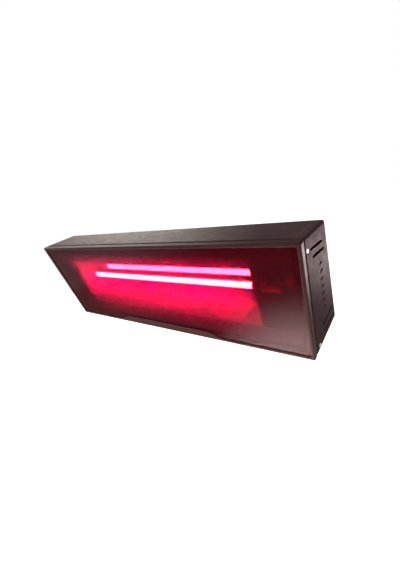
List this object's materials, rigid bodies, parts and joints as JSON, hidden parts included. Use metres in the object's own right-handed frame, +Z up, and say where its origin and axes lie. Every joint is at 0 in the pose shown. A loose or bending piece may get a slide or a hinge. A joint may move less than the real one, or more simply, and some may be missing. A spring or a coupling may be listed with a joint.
{
  "type": "glass panel heater",
  "caption": "Infrared panel heater: a lamp and reflector behind a dark glass front in a folded metal casing, tilting on a wall bracket.",
  "frame": {"origin": "centre of the four wall holes, on the back face of the bracket's wall plate", "axes": "+X along the heater to its right-hand end as seen from the front, +Y into the wall, +Z up"},
  "size_m": [0.5232, 0.14, 0.163],
  "materials": {
    "casing_paint": "satin bronze grey",
    "frame_paint": "satin bronze grey",
    "tinted_glass": "polished dark red-brown",
    "seal_tape": "woven glass tape",
    "polished_aluminium": "polished",
    "black_steel": "matt black",
    "quartz": "clear",
    "glowing_carbon": "carbon ribbon",
    "lamp_ceramic": "unglazed",
    "spring_steel": "bright",
    "wire_sleeve": "braided glass sleeve, black",
    "terminal_brass": "plain",
    "gland_nylon": "fine grain",
    "zinc_steel": "zinc plated",
    "bracket_paint": "satin bronze grey",
    "washer_nylon": "plain"
  },
  "bodies": {
    "bracket": {"wall_bracket": "bracket_paint"},
    "heater": {"housing_shell": "casing_paint", "end_cap_right": "casing_paint", "end_cap_left": "casing_paint", "front_frame": "frame_paint", "glass_panel": "tinted_glass", "glass_gasket": "seal_tape", "reflector_trough": "polished_aluminium", "reflector_rail_top": "black_steel", "reflector_rail_bottom": "black_steel", "rail_rivets": "spring_steel", "reflector_end_right": "polished_aluminium", "reflector_end_left": "polished_aluminium", "lamp_tube": "quartz", "heating_element": "glowing_carbon", "element_clamps": "lamp_ceramic", "lamp_cap_right": "lamp_ceramic", "lamp_cap_left": "lamp_ceramic", "lamp_holder_right": "spring_steel", "lamp_holder_left": "spring_steel", "lead_wire_right": "wire_sleeve", "lead_wire_left": "wire_sleeve", "terminal_block": "lamp_ceramic", "terminal_screws": "terminal_brass", "cable_gland": "gland_nylon", "gland_nut": "gland_nylon", "end_screws": "zinc_steel", "mount_lug_right": "bracket_paint", "mount_lug_left": "bracket_paint", "lug_screws": "zinc_steel", "pivot_bolts": "zinc_steel", "lock_bolts": "zinc_steel", "pivot_washers": "washer_nylon"}
  },
  "joints": [
    {"name": "tilt", "type": "hinge", "parent": "bracket", "child": "heater", "pos_m": [0, -0.03374, -0.007], "axis": [1, 0, 0], "range_deg": [0, 45]}
  ]
}
